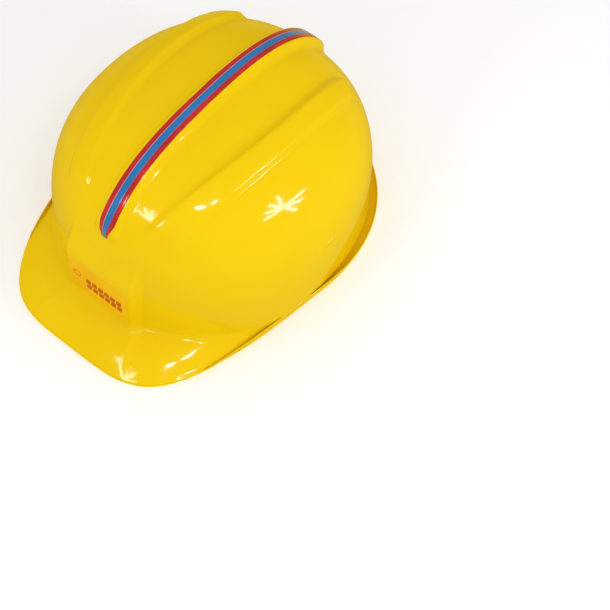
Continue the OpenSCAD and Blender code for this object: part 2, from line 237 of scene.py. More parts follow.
def moulding_group():
    """Mottle, fine orange-peel height and handling scuffs of moulded plastic."""
    g = bpy.data.node_groups.new("moulding_variation", "ShaderNodeTree")
    for name, kind, value in (("Scale", "NodeSocketFloat", 30.0),
                              ("Base", "NodeSocketColor", (0.8, 0.6, 0.02, 1)),
                              ("Deep", "NodeSocketColor", (0.6, 0.4, 0.01, 1)),
                              ("Gloss", "NodeSocketFloat", 0.2),
                              ("Scuff", "NodeSocketFloat", 0.15)):
        g.interface.new_socket(name=name, in_out="INPUT", socket_type=kind).default_value = value
    for name, kind in (("Color", "NodeSocketColor"), ("Roughness", "NodeSocketFloat"),
                       ("Height", "NodeSocketFloat")):
        g.interface.new_socket(name=name, in_out="OUTPUT", socket_type=kind)
    nodes, links = g.nodes, g.links
    gi, go = nodes.new("NodeGroupInput"), nodes.new("NodeGroupOutput")
    where = nodes.new("ShaderNodeTexCoord")
    cloud = nodes.new("ShaderNodeTexNoise")
    cloud.inputs["Detail"].default_value = 3
    links.new(where.outputs["Object"], cloud.inputs["Vector"])
    links.new(gi.outputs["Scale"], cloud.inputs["Scale"])
    mix = nodes.new("ShaderNodeMix")
    mix.data_type = "RGBA"
    ramp = nodes.new("ShaderNodeMapRange")
    ramp.inputs["From Min"].default_value, ramp.inputs["From Max"].default_value = 0.35, 0.7
    links.new(cloud.outputs["Fac"], ramp.inputs["Value"])
    links.new(ramp.outputs["Result"], mix.inputs["Factor"])
    links.new(gi.outputs["Base"], mix.inputs["A"])
    links.new(gi.outputs["Deep"], mix.inputs["B"])
    links.new(mix.outputs["Result"], go.inputs["Color"])
    scratch = nodes.new("ShaderNodeTexNoise")
    scratch.inputs["Scale"].default_value = 260
    scratch.inputs["Detail"].default_value = 6
    links.new(where.outputs["Object"], scratch.inputs["Vector"])
    worn = nodes.new("ShaderNodeMapRange")
    worn.inputs["From Min"].default_value, worn.inputs["From Max"].default_value = 0.55, 0.8
    links.new(scratch.outputs["Fac"], worn.inputs["Value"])
    scuff = nodes.new("ShaderNodeMath")
    scuff.operation = "MULTIPLY_ADD"
    links.new(worn.outputs["Result"], scuff.inputs[0])
    links.new(gi.outputs["Scuff"], scuff.inputs[1])
    links.new(gi.outputs["Gloss"], scuff.inputs[2])
    links.new(scuff.outputs["Value"], go.inputs["Roughness"])
    peel = nodes.new("ShaderNodeTexNoise")
    peel.inputs["Scale"].default_value = 900
    links.new(where.outputs["Object"], peel.inputs["Vector"])
    links.new(peel.outputs["Fac"], go.inputs["Height"])
    return g


MOULDING = moulding_group()


def moulded(name, base, deep, gloss, scuff, scale, bump=0.05, **principled):
    """A plastic: the variation group feeding a Principled shader."""
    mat = bpy.data.materials.new(name)
    mat.use_nodes = True
    nodes, links = mat.node_tree.nodes, mat.node_tree.links
    shader = nodes["Principled BSDF"]
    group = nodes.new("ShaderNodeGroup")
    group.node_tree = MOULDING
    for key, value in (("Base", base), ("Deep", deep), ("Gloss", gloss),
                       ("Scuff", scuff), ("Scale", scale)):
        group.inputs[key].default_value = value
    links.new(group.outputs["Color"], shader.inputs["Base Color"])
    links.new(group.outputs["Roughness"], shader.inputs["Roughness"])
    lumps = nodes.new("ShaderNodeBump")
    lumps.inputs["Strength"].default_value = bump
    lumps.inputs["Distance"].default_value = 0.0002
    links.new(group.outputs["Height"], lumps.inputs["Height"])
    links.new(lumps.outputs["Normal"], shader.inputs["Normal"])
    for key, value in principled.items():
        shader.inputs[key.replace("_", " ")].default_value = value
    return mat


def finish_piece(piece, body, slot, material, *nodes):
    piece.data.materials.clear()
    piece.data.materials.append(material)
    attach(piece, body)
    if nodes:
        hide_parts(*nodes)


YELLOW = moulded("glossy_yellow_plastic", (0.92, 0.62, 0.003, 1), (0.90, 0.585, 0.003, 1),
                 0.09, 0.10, 14.0, 0.04, IOR=1.49, Coat_Weight=0.2)
finish_piece(shell, "hat", "shell_plastic", YELLOW, "shell")

# ----------------------------------------------------------- liner lugs ----
# Three hooked lugs stand inside the shell wall and carry the harness. They
# belong to the same yellow moulding; their edges are eased by 0.4 mm.


def eased(name, loop, depth, easing):
    """Extruded outline (x, z) with width depth along y and eased edges."""
    n = len(loop)
    points = [(x, -depth / 2, z) for x, z in loop] + [(x, depth / 2, z) for x, z in loop]
    faces = [tuple(range(n)), tuple(range(2 * n - 1, n - 1, -1))]
    faces += [(i, i + n, (i + 1) % n + n, (i + 1) % n) for i in range(n)]
    piece = make_mesh(name, points, faces, flat=True)
    bevel = piece.modifiers.new("eased_edges", "BEVEL")
    bevel.width, bevel.segments = easing * 0.001, 3
    return piece


# plan angle from the peak, inner face, foot in the wall, height
LUGS = {"left": (90, 76.0, 91.0, 50.0), "right": (-90, 76.0, 91.0, 50.0),
        "rear": (180, 87.0, 102.4, 62.0)}
lug_pieces = []
for side, (turn, lip, out, high) in LUGS.items():
    loop = [(lip, high - 2.5), (out, high - 2.5), (out, high + 2.5),
            (lip + 1.5, high + 2.5), (lip + 1.5, high + 4.5), (lip, high + 4.5)]
    lug = eased("lug_" + side, loop, 8.0, 0.4)
    spin = math.radians(turn - 90)
    for vert in lug.data.vertices:
        x, y, z = vert.co
        vert.co = (x * math.cos(spin) - y * math.sin(spin),
                   x * math.sin(spin) + y * math.cos(spin) + HEAD_Y * 0.001, z)
    lug_pieces.append(lug)
for lug in lug_pieces:
    finish_piece(lug, "hat", "shell_plastic", YELLOW, "liner_lugs")

# ------------------------------------------------------------ ridge tape ----
# Printed adhesive tape runs over the middle ridge: red, with a blue stripe
# and a fine pale line beside it. It follows the ridge top and ends in a taper.
TAPE_HALF, TAPE_LEAN = 5.3, (-58.8, 61.0)
TAPE_TAPER, TAPE_TIP = 13.0, 0.42   # length of the tapered end, its share of the width


def ridge_line(across, lift):
    """Points above the dome along the ridge, one row for each offset across."""
    crest = 30
    v = np.linspace(-1, 1, 561)
    u = np.linspace(-0.3, 0.3, 2 * crest + 1)
    grid = np.array([dome(np.stack([u * np.sqrt(1 - MAP_K * a * a),
                                    a * np.sqrt(1 - (1 - MAP_K) * u * u)], 1), 0) for a in v])
    lean = np.degrees(np.arctan2(grid[:, crest, 1], grid[:, crest, 2] - FOOT_Z))
    grid = grid[(lean > TAPE_LEAN[0]) & (lean < TAPE_LEAN[1])][::2]
    rows = []
    for i, line in enumerate(grid):
        run = np.linalg.norm(line[crest] - grid[0][crest])
        share = min(1, TAPE_TIP + (1 - TAPE_TIP) * smooth(run / TAPE_TAPER))
        x = np.asarray(across) * share
        rows.append(np.stack([np.interp(x, line[:, 0], line[:, k]) for k in range(3)], 1))
    rows = np.array(rows)
    along = np.gradient(rows, axis=0)
    side = np.gradient(rows, axis=1)
    out = np.cross(side, along)
    out /= np.linalg.norm(out, axis=2)[:, :, None]
    out *= np.sign(out[len(out) // 2, :, 2])[None, :, None]
    return rows + out * np.asarray(lift)[None, :, None]


def tape_strip(name, lo, hi, base, thick):
    across = np.concatenate([[lo], np.linspace(lo + 0.12, hi - 0.12, 7), [hi]])
    top = ridge_line(across, [base + thick * 0.4] + [base + thick] * 7 + [base + thick * 0.4])
    low = ridge_line(across, [base] * 9)
    n, m = top.shape[:2]
    points = np.concatenate([top.reshape(-1, 3), low.reshape(-1, 3)])
    faces = []
    for i in range(n - 1):
        for j in range(m - 1):
            a = i * m + j
            faces.append((a, a + 1, a + m + 1, a + m))
            faces.append(tuple(n * m + k for k in (a, a + m, a + m + 1, a + 1)))
    ring = (list(range(m)) + [i * m + m - 1 for i in range(1, n)]
            + [(n - 1) * m + j for j in range(m - 2, -1, -1)]
            + [i * m for i in range(n - 2, 0, -1)])
    for a, b in zip(ring, ring[1:] + ring[:1]):
        faces.append((b, a, a + n * m, b + n * m))
    return make_mesh(name, in_place(points), faces)


tape_red = tape_strip("tape_red_base", -TAPE_HALF, TAPE_HALF, 0.05, 0.2)
tape_blue = tape_strip("tape_blue_stripe", -1.9, 2.1, 0.2, 0.14)
tape_line = tape_strip("tape_pale_line", -2.3, -1.95, 0.2, 0.12)
RED_TAPE = moulded("red_tape", (0.62, 0.022, 0.03, 1), (0.42, 0.012, 0.02, 1),
                   0.16, 0.25, 60.0, 0.08, Coat_Weight=0.5)
BLUE_TAPE = moulded("blue_tape", (0.016, 0.20, 0.50, 1), (0.012, 0.16, 0.42, 1),
                    0.16, 0.25, 60.0, 0.08, Coat_Weight=0.5)
PALE_TAPE = moulded("pale_line_ink", (0.62, 0.45, 0.55, 1), (0.45, 0.32, 0.45, 1),
                    0.2, 0.25, 60.0, 0.05)
finish_piece(tape_red, "hat", "tape_red", RED_TAPE, "tape_red")
finish_piece(tape_blue, "hat", "tape_blue", BLUE_TAPE, "tape_blue")
finish_piece(tape_line, "hat", "tape_blue", PALE_TAPE, "tape_blue")

# ----------------------------------------------------------- badge label ----
# A clear amber film label fills the flat of the boss. Two rows of plain red
# bars and a small ring are printed on it, in place of any wording.
LABEL_Z, LABEL_W, LABEL_H = 36.25, 46.0, 32.5
LABEL_OUT, PRINT_OUT = 0.25, 0.33   # how far film and print stand off the boss
BAR_FROM, BAR_PITCH, BAR_SLANT, BAR_HALF_H = -8.1, 4.8, 0.35, 2.5
BAR_ROWS, ROW_SHIFT = (36.5, 30.7), 0.4
RING_X, RING_Z = -17.0, 38.0


def rounded_box(w, h, r, steps=6):
    loop = []
    for cx, cy, start in ((w / 2 - r, h / 2 - r, 0), (-w / 2 + r, h / 2 - r, 90),
                          (-w / 2 + r, -h / 2 + r, 180), (w / 2 - r, -h / 2 + r, 270)):
        for k in range(steps + 1):
            a = math.radians(start + 90 * k / steps)
            loop.append((cx + r * math.cos(a), cy + r * math.sin(a)))
    return loop


def front_plate(name, loop, y_face, thick, easing, shift=(0, 0)):
    """Thin plate facing the front, with its outer edge eased."""
    loop = np.array(loop)
    centre = loop.mean(axis=0)
    inner = centre + (loop - centre) * (1 - easing / np.abs(loop - centre).max())
    points, n = [], len(loop)
    for ring, y in ((loop, y_face + thick), (loop, y_face + easing * 0.6), (inner, y_face)):
        points += [(x + shift[0], y, z + shift[1]) for x, z in ring]
    faces = [tuple(range(n)), tuple(range(3 * n - 1, 2 * n - 1, -1))]
    for row in (0, n):
        faces += [(row + i, row + n + i, row + n + (i + 1) % n, row + (i + 1) % n)
                  for i in range(n)]
    return make_mesh(name, in_place(points), faces, flat=True)


label = front_plate("badge_film", rounded_box(LABEL_W, LABEL_H, 2.2), FACE_Y - LABEL_OUT,
                    0.35, 0.2, (0, LABEL_Z))
AMBER = moulded("amber_film", (1.0, 0.56, 0.003, 1), (0.93, 0.47, 0.003, 1),
                0.28, 0.2, 45.0, 0.15)
INK = moulded("red_ink", (0.50, 0.035, 0.004, 1), (0.66, 0.12, 0.01, 1),
              0.4, 0.2, 380.0, 0.2)
finish_piece(label, "hat", "badge_label", AMBER, "badge_label")
marks = []
for row, height in enumerate(BAR_ROWS):
    for col in range(6):
        bar = [(-1.9 - BAR_SLANT, -BAR_HALF_H), (1.8 - BAR_SLANT, -BAR_HALF_H),
               (1.9 + BAR_SLANT, BAR_HALF_H), (-1.8 + BAR_SLANT, BAR_HALF_H)]
        marks.append(front_plate("badge_bar_%d_%d" % (row, col), bar, FACE_Y - PRINT_OUT, 0.12,
                                 0.05, (BAR_FROM + BAR_PITCH * col + ROW_SHIFT * row, height)))
ring_points, ring_faces = [], []
for k in range(48):
    a = 2 * math.pi * k / 48
    for radius, out in ((3.0, LABEL_OUT), (2.9, PRINT_OUT), (2.5, PRINT_OUT), (2.4, LABEL_OUT)):
        ring_points.append((RING_X + radius * math.cos(a), FACE_Y - out,
                            RING_Z + radius * math.sin(a)))
    for j in range(4):
        ring_faces.append((4 * k + j, 4 * k + (j + 1) % 4, 4 * ((k + 1) % 48) + (j + 1) % 4,
                           4 * ((k + 1) % 48) + j))
marks.append(make_mesh("badge_ring", in_place(ring_points), ring_faces))
for mark in marks:
    finish_piece(mark, "hat", "badge_marks", INK, "badge_marks")

# --------------------------------------------------------- crown cradle ----
# Disc and eight arms, cut flat from 1.2 mm milky polyethylene with the band
# and bent up into a dome. The arms run into the disc in rounded crotches.
SHEET = 1.2
DISC_R, DISC_Z, BAND_R, BAND_LO, BAND_HI = 26.0, 83.6, 82.4, 5.0, 31.0


def densify(loop, step):
    out = []
    for a, b in zip(loop, loop[1:] + loop[:1]):
        a, b = np.array(a), np.array(b)
        parts = max(1, int(math.ceil(np.linalg.norm(b - a) / step)))
        out += [a + (b - a) * k / parts for k in range(parts)]
    return np.array(out)


def ease_corners(loop, radius, steps=5):
    """Replaces each corner of a loop with a short arc-like curve."""
    out, n = [], len(loop)
    for i in range(n):
        a, b, c = (np.array(loop[k % n], float) for k in (i - 1, i, i + 1))
        r = min(radius, np.linalg.norm(a - b) * 0.48, np.linalg.norm(c - b) * 0.48)
        p, q = b + (a - b) / np.linalg.norm(a - b) * r, b + (c - b) / np.linalg.norm(c - b) * r
        out += [tuple((1 - t) ** 2 * p + 2 * t * (1 - t) * b + t * t * q)
                for t in np.linspace(0, 1, steps + 1)]
    return out


def inside(points, loops):
    hit = np.zeros(len(points), bool)
    for loop in loops:
        a, b = loop, np.roll(loop, -1, 0)
        for (ax, ay), (bx, by) in zip(a, b):
            if ay == by:
                continue
            cross = (ay > points[:, 1]) != (by > points[:, 1])
            at = ax + (points[:, 1] - ay) * (bx - ax) / (by - ay)
            hit ^= cross & (points[:, 0] < at)
    return hit


def circle(x, y, r, steps=20):
    return [(x + r * math.cos(2 * math.pi * k / steps), y - r * math.sin(2 * math.pi * k / steps))
            for k in range(steps)]


def sheet(name, outline, holes, place, step=1.8, thick=SHEET):
    """A flat-cut sheet with eased edges, bent by place(u, v, height)."""
    loops = [densify(outline, step)] + [np.array(h, float) for h in holes]
    every = np.concatenate(loops)
    lo, hi = every.min(0), every.max(0)
    gx, gy = np.meshgrid(np.arange(lo[0], hi[0], step), np.arange(lo[1], hi[1], step * 0.87))
    gx[1::2] += step / 2
    grid = np.stack([gx.ravel(), gy.ravel()], 1)
    grid = grid[inside(grid, loops)]
    near = np.array([np.min(np.sum((every - p) ** 2, 1)) for p in grid]) if len(grid) else []
    grid = grid[np.sqrt(near) > step * 0.6] if len(grid) else grid
    flat = np.concatenate([every, grid])
    edges, inward, at = [], np.zeros_like(flat), 0
    for loop in loops:
        n = len(loop)
        edges += [(at + i, at + (i + 1) % n) for i in range(n)]
        along = np.roll(loop, -1, 0) - np.roll(loop, 1, 0)
        along /= np.maximum(np.linalg.norm(along, axis=1), 1e-9)[:, None]
        inward[at:at + n] = np.stack([-along[:, 1], along[:, 0]], 1)
        at += n
    got = delaunay_2d_cdt([Vector(p) for p in flat.tolist()], edges, [], 0, 1e-5)
    origin = [ids[0] if ids else -1 for ids in got[3]]
    tris = [tuple(origin[i] for i in f) for f in got[2]]
    tris = [t for t in tris if min(t) >= 0]
    middle = np.array([flat[list(t)].mean(0) for t in tris])
    keep = inside(middle, loops)
    tris = [t for t, k in zip(tris, keep) if k]
    rim, total = len(every), len(flat)
    ease = thick * 0.3

    def layer(ids, back, height):
        p = flat[ids] + inward[ids] * back
        return place(p[:, 0], p[:, 1], height)

    whole = np.arange(total)
    points = [layer(whole, ease, thick / 2), layer(whole, ease, -thick / 2)]
    faces = list(tris) + [tuple(total + i for i in t[::-1]) for t in tris]
    rows = [list(range(rim))]
    count = 2 * total
    for back, height in ((0.3, 0.36), (0, 0.15), (0, -0.15), (0.3, -0.36)):
        points.append(layer(np.arange(rim), ease * back, thick * height))
        rows.append(list(range(count, count + rim)))
        count += rim
    rows.append([total + i for i in range(rim)])
    for upper, lower in zip(rows, rows[1:]):
        for a, b in edges:
            faces.append((upper[b], upper[a], lower[a], lower[b]))
    return make_mesh(name, in_place(np.concatenate(points)), faces)


def arm_profile(r1, z1, drop=0, taut=0.0):
    """Radius and height along an arm, from the disc's middle outwards."""
    p, q = 0.9 + taut, 0.8 + taut
    t = np.radians(np.arange(0, 85, 3))
    full, c84 = math.sin(math.radians(84)), math.cos(math.radians(84))
    r = DISC_R - 4 + (r1 - DISC_R + 4) * np.sin(t) ** p / full ** p
    z = z1 + (DISC_Z - z1) * (np.cos(t) ** q - c84 ** q) / (1 - c84 ** q)
    r, z = np.concatenate([[0], r]), np.concatenate([[DISC_Z], z])
    if drop:
        r, z = np.append(r, r1 + 0.1), np.append(z, z1 - drop)
    return np.concatenate([[0], np.cumsum(np.hypot(np.diff(r), np.diff(z)))]), r, z


PROFILES = {"side": arm_profile(77.4, 58), "rear": arm_profile(88.2, 70.5),
            "front": arm_profile(81.6, 30, 8, 0.6), "corner": arm_profile(81.6, 34, 7)}


def share_of(plan, middle, flat, fade):
    off = np.abs((np.degrees(plan) - middle + 180) % 360 - 180)
    return 1 - smooth((off - flat) / fade)


def cradle_at(x, y, height):
    s, plan = np.hypot(x, y), np.arctan2(y, x)
    weights = {"side": share_of(plan, 0, 9, 5) + share_of(plan, 180, 9, 5),
               "rear": share_of(plan, 90, 14, 8), "front": share_of(plan, 270, 14, 8)}
    weights["corner"] = 1 - sum(weights.values())
    r = z = dr = dz = 0
    for key, w in weights.items():
        ps, pr, pz = PROFILES[key]
        for step, sign in ((0.6, 1), (-0.6, -1)):
            dr = dr + sign * w * np.interp(s + step, ps, pr)
            dz = dz + sign * w * np.interp(s + step, ps, pz)
        r, z = r + w * np.interp(s, ps, pr), z + w * np.interp(s, ps, pz)
    size = np.maximum(np.hypot(dr, dz), 1e-6)
    r, z = r - dz / size * height, z + dr / size * height
    return np.stack([r * np.cos(plan), r * np.sin(plan), z], 1)


# arm stations: run from the middle, plan angle of its middle line, width
CORNER_REAR = [(26, 27, 17), (28, 25.5, 13.5), (34, 22.5, 11.6), (44, 21.5, 11.3),
               (60, 25.5, 10.6), (72, 28, 7.8), (86, 31, 7.0), (98, 33.6, 7.4),
               (103, 34.4, 9.5), (107, 34.4, 14.5), (111, 33.5, 21), (112.5, 33.2, 23)]
CORNER_FRONT = [(26, -26.5, 17), (28, -26, 13.5), (34, -26, 10.4), (45, -26, 9.6),
                (70, -28, 11.4), (90, -31, 11.6), (102, -33, 12.5), (108, -34, 16),
                (112.5, -34.4, 20)]
SIDE_ARM = [(26, 0, 10.4), (30, 1.5, 10.8), (43, 2.4, 10.4), (56, 2.4, 8.4),
            (68, 1.8, 7.4), (87.5, 0, 7.6)]
REAR_ARM = [(26, 0, 17), (28, 0, 13), (33, 0, 10.8), (60, 0, 10.4),
            (PROFILES["rear"][0][-1] - 0.4, 0, 10.6)]
FRONT_ARM = [(26, 0, 17), (28, 0, 13), (33, 0, 10.8), (60, 0, 10.2),
             (PROFILES["front"][0][-1] - 1, 0, 10.8)]
ARMS = [(0, SIDE_ARM, 1, "side"), (0, CORNER_REAR, 1, "corner"), (90, REAR_ARM, 1, "rear"),
        (180, CORNER_REAR, -1, "corner"), (180, SIDE_ARM, -1, "side"),
        (180, CORNER_FRONT, -1, "corner"), (270, FRONT_ARM, 1, "front"),
        (360, CORNER_FRONT, 1, "corner")]


def arm_sides(base, rows, turn, kind):
    rows = np.array(rows, float)
    s = np.concatenate([np.arange(rows[0, 0], rows[-1, 0], 1.2), [rows[-1, 0]]])
    middle = base + turn * np.interp(s, rows[:, 0], rows[:, 1])
    ps, pr, _ = PROFILES[kind]
    half = np.degrees(np.interp(s, rows[:, 0], rows[:, 2]) / 2 / np.interp(s, ps, pr))
    blur = np.ones(5) / 5
    for _ in range(2):
        middle[2:-2] = np.convolve(middle, blur, "valid")
        half[2:-2] = np.convolve(half, blur, "valid")
    return s, middle - half, middle + half


outline = []
sides = [arm_sides(*arm) for arm in ARMS]
for k, (s, low, high) in enumerate(sides):
    nxt = sides[(k + 1) % len(sides)]
    outline += [(r * math.cos(math.radians(a)), r * math.sin(math.radians(a)))
                for r, a in zip(s, low)]
    outline += [(r * math.cos(math.radians(a)), r * math.sin(math.radians(a)))
                for r, a in zip(s[::-1], high[::-1])]
    gap = (nxt[1][0] + (360 if k == len(sides) - 1 else 0)) - high[0]
    if gap > 4:
        outline += [(s[0] * math.cos(math.radians(high[0] + gap * t)),
                     s[0] * math.sin(math.radians(high[0] + gap * t)))
                    for t in np.linspace(0, 1, max(3, int(gap / 3)))[1:-1]]
cradle = sheet("crown_cradle_sheet", outline, [circle(0, 0, 2.0)], cradle_at)


def milky_sheet(name, cover, tint=(0.93, 0.90, 0.52, 1), deep=(0.90, 0.86, 0.45, 1)):
    """Translucent polyethylene: whiter where two layers lie together."""
    mat = moulded(name, tint, deep, 0.30, 0.25, 55.0, 0.12, IOR=1.5, Alpha=cover,
                  Subsurface_Weight=0.12, Subsurface_Scale=0.004)
    mat.node_tree.nodes["Principled BSDF"].inputs["Subsurface Radius"].default_value = (1, 0.9, 0.6)
    return mat


MILKY = milky_sheet("milky_polyethylene", 0.40)
finish_piece(cradle, "hat", "harness_plastic", MILKY, "crown_cradle")

# ------------------------------------------------------------- hook tabs ----
# Slotted ears of the same sheet. Each hooks over a lug, the side ones
# widen downwards into the band, the nape one has a cross bar.


def path_sheet(name, path, turn, outline, holes, step=1.6):
    """Sheet that follows (radius, height) points in the plane at plan angle turn."""
    path = np.array(path, float)
    path = np.array(refine(path, 6))
    run = np.concatenate([[0], np.cumsum(np.hypot(*np.diff(path, axis=0).T))])

    def place(u, v, height):
        dr = np.interp(v + 0.5, run, path[:, 0]) - np.interp(v - 0.5, run, path[:, 0])
        dz = np.interp(v + 0.5, run, path[:, 1]) - np.interp(v - 0.5, run, path[:, 1])
        size = np.maximum(np.hypot(dr, dz), 1e-6)
        r = np.interp(v, run, path[:, 0]) + dz / size * height
        z = np.interp(v, run, path[:, 1]) - dr / size * height
        plan = math.radians(turn) - u / np.maximum(r, 1)
        return np.stack([r * np.cos(plan), r * np.sin(plan), z], 1)

    return sheet(name, outline, holes, place, step)


def slot_hole(y, w=12.0, h=8.0, r=0.8):
    return [(x, y + z) for x, z in rounded_box(w, h, r, 3)][::-1]


# runs measured upward from the band edge to the top of the ear
SIDE_PATH = [(82.0, 27), (81.9, 31), (81.0, 37), (79.2, 44), (79.0, 50), (78.4, 56), (77.6, 61.5)]
for side, turn, flip in (("left", 0, 1), ("right", 180, -1)):
    wide = [(-12, 2.8), (16, 2.8), (20, 4.6), (12, 13), (9, 17.5), (9, 27), (8, 30),
            (3.8, 33.2), (3.8, 35), (-3.8, 35), (-3.8, 33.2), (-8, 30), (-9, 27),
            (-9, 17.5), (-9.6, 13), (-14.5, 4.6)]
    wide = [(-x * flip, y) for x, y in wide]
    if flip > 0:
        wide = wide[::-1]
    ear = path_sheet("side_ear_" + side, SIDE_PATH, turn, ease_corners(wide, 3.0),
                     [slot_hole(23.6)])
    finish_piece(ear, "hat", "harness_plastic", MILKY, "side_tab_" + side)

REAR_PATH = [(84.0, 22), (84.1, 27), (84.6, 32), (86.0, 38), (88.0, 45), (89.4, 52), (89.8, 58),
             (89.7, 64), (89.0, 69), (87.4, 74)]
rear_outline = [(-9.4, 0.5), (9.4, 0.5), (9.4, 46), (8.4, 48.5), (5.4, 51.4), (5.4, 52.6), (-5.4, 52.6),
                (-5.4, 51.4), (-8.4, 48.5), (-9.4, 46)]
rear_ear = path_sheet("nape_ear", REAR_PATH, 90, ease_corners(rear_outline, 2.0),
                      [slot_hole(41.6)])


def band_sheet(name, radius, outline, holes, step=1.8, thick=SHEET):
    """Sheet bent round the head: outline in degrees from the peak and height."""
    scale = math.radians(1) * radius

    def place(u, v, height):
        a = u / radius
        return np.stack([(radius + height) * np.sin(a), -(radius + height) * np.cos(a), v], 1)

    outline = [(a * scale, z) for a, z in outline]
    holes = [[(a * scale + x, z + y) for x, y in circle(0, 0, r)] for a, z, r in holes]
    return sheet(name, outline, holes, place, step, thick)


def plate(a0, a1, z0, z1, radius, corner):
    """Rounded plate outline in degrees and height."""
    scale = math.radians(1) * radius
    half, mid = (a1 - a0) * scale / 2, (a0 + a1) / 2
    return [(mid + x / scale, (z0 + z1) / 2 + z)
            for x, z in rounded_box(2 * half, z1 - z0, corner)]


NAPE_BAR_R = 83.7
nape_bar = band_sheet("nape_cross_bar", NAPE_BAR_R,
                      plate(163.6, 196.4, 4, 32.2, NAPE_BAR_R, 3.0), [])
finish_piece(rear_ear, "hat", "harness_plastic", MILKY, "nape_tab")
finish_piece(nape_bar, "hat", "harness_plastic", MILKY, "nape_tab")

# -------------------------------------------------------------- headband ----
# Two halves of the band. Their upper edge lifts where the corner arms leave,
# and the left half narrows to the width of the strap at the front.


def band_outline(stops, base_low):
    """Closed outline from the upper edge stops (angle, height) and the lower ones."""
    return ease_corners(base_low + stops[::-1], 4.0)


BAND_END = 172.5
left_top = [(40, 28.0), (60, 29.0), (78, BAND_HI), (BAND_END, BAND_HI)]
left_low = [(40, 8.0), (60, 7.0), (78, BAND_LO), (BAND_END, BAND_LO)]
band_left = band_sheet("headband_left_half", BAND_R, band_outline(left_top, left_low), [])
right_top = [(-BAND_END, BAND_HI), (-60, BAND_HI), (-20, 30.0), (16, 30.0)]
right_low = [(-BAND_END, BAND_LO), (-60, BAND_LO), (-20, 6.0), (16, 6.0)]
band_right = band_sheet("headband_right_half", BAND_R, band_outline(right_top, right_low), [])
MILKY_DENSE = milky_sheet("milky_polyethylene_dense", 0.66, (0.97, 0.94, 0.83, 1),
                          (0.94, 0.91, 0.76, 1))
finish_piece(band_left, "hat", "harness_plastic", MILKY, "headband_left")
finish_piece(band_right, "hat", "harness_plastic", MILKY, "headband_right")

# ------------------------------------------------- keepers and size pegs ----
# Plates raised over the strap on two walls each, so the strap slides between
# them and the band; two low pegs catch in its holes.
KEEPERS = {"wide": (4.0, 16.0), "narrow": (-17.5, -13.5)}
COVER_R, WALL_R, KEEPER_LO, KEEPER_HI = 85.8, 84.1, 4.5, 32.0
HOLE_STEP, HOLE_Z = 6.2, 18.0
for kind, (a0, a1) in KEEPERS.items():
    cover = band_sheet("keeper_%s_plate" % kind, COVER_R,
                       plate(a0, a1, KEEPER_LO, KEEPER_HI, COVER_R, 1.6), [])
    finish_piece(cover, "hat", "harness_plastic", MILKY_DENSE, "strap_keepers")
    for name, z0, z1 in (("upper", 28.6, KEEPER_HI), ("lower", KEEPER_LO, 7.4)):
        wall = band_sheet("keeper_%s_%s_wall" % (kind, name), WALL_R,
                          plate(a0, a1, z0, z1, WALL_R, 0.6), [], 1.4, 2.2)
        finish_piece(wall, "hat", "harness_plastic", MILKY_DENSE, "strap_keepers")


def turned(name, profile, angle, z, steps=28):
    """Turned piece on a line pointing away from the middle axis."""
    a = math.radians(angle - 90)
    points, faces, n = [], [], len(profile)
    for k in range(steps):
        t = 2 * math.pi * k / steps
        for radius, out in profile:
            side, up = radius * math.cos(t), radius * math.sin(t)
            points.append((out * math.cos(a) - side * math.sin(a),
                           out * math.sin(a) + side * math.cos(a), z + up))
    for k in range(steps):
        for j in range(n - 1):
            b = (k + 1) % steps
            faces.append((k * n + j, b * n + j, b * n + j + 1, k * n + j + 1))
    points += [(profile[0][1] * math.cos(a), profile[0][1] * math.sin(a), z),
               (profile[-1][1] * math.cos(a), profile[-1][1] * math.sin(a), z)]
    for k in range(steps):
        b = (k + 1) % steps
        faces.append((len(points) - 2, b * n, k * n))
        faces.append((len(points) - 1, k * n + n - 1, b * n + n - 1))
    return make_mesh(name, in_place(points), faces)


PEG = [(1.4, 82.8), (1.4, 83.1), (1.3, 83.22), (1.1, 83.28), (0.6, 83.3)]
for i in (0, 2):
    peg = turned("size_peg_%d" % i, PEG, 9.5 - HOLE_STEP * i, HOLE_Z)
    finish_piece(peg, "hat", "harness_plastic", MILKY_DENSE, "size_pegs")

# ------------------------------------------------------------ size strap ----
# Perforated strap with a rounded tongue. It slides round the head through
# the keepers, so it rides on its own body.
STRAP_R, STRAP_LO, STRAP_HI = 84.2, 8.0, 28.0
strap_loop = plate(-37, 75, STRAP_LO, STRAP_HI, STRAP_R, 9.0)
strap_holes = [(34.3 - HOLE_STEP * i, HOLE_Z, 1.8) for i in range(10)]
strap = band_sheet("size_strap_sheet", STRAP_R, strap_loop, strap_holes, 1.6)
finish_piece(strap, "strap", "harness_plastic", MILKY_DENSE, "size_strap")

# ------------------------------------------------------------ nape studs ----
# Two snap studs, dimpled on top, hold the band ends to the nape tab.
STUD = [(0.5, 79.75), (1.1, 79.5), (2.2, 79.45), (2.8, 79.7), (3.0, 80.2), (3.0, 81.6), (2.6, 81.8),
        (1.7, 81.8), (1.7, 84.5), (1.5, 84.8), (0.6, 84.9)]
for side, angle in (("left", 167.2), ("right", 192.8)):
    stud = turned("nape_stud_" + side, STUD, angle, 15.0)
    finish_piece(stud, "hat", "harness_plastic", MILKY_DENSE, "nape_studs")

# ------------------------------------------------------------ care label ----
# A small paper sheet tucked at the nape. Its print is only grey dashes.


def label_at(u, v, height):
    path = np.array([[84.4, 14.0], [86.2, 12.3], [89.0, 9.6], [92.5, 6.6], [98.0, 3.5]])
    run = np.concatenate([[0], np.cumsum(np.hypot(*np.diff(path, axis=0).T))])
    y, z = np.interp(v, run, path[:, 0]), np.interp(v, run, path[:, 1])
    curl = 0.6 * (u / 14) ** 2
    return np.stack([3 + u, y + 0.6 * height, z + 0.8 * height + curl], 1)


paper_label = sheet("care_label_paper", [(-13, 0), (13, 0), (13, 15), (-13, 15)], [],
                    label_at, 1.4, 0.2)


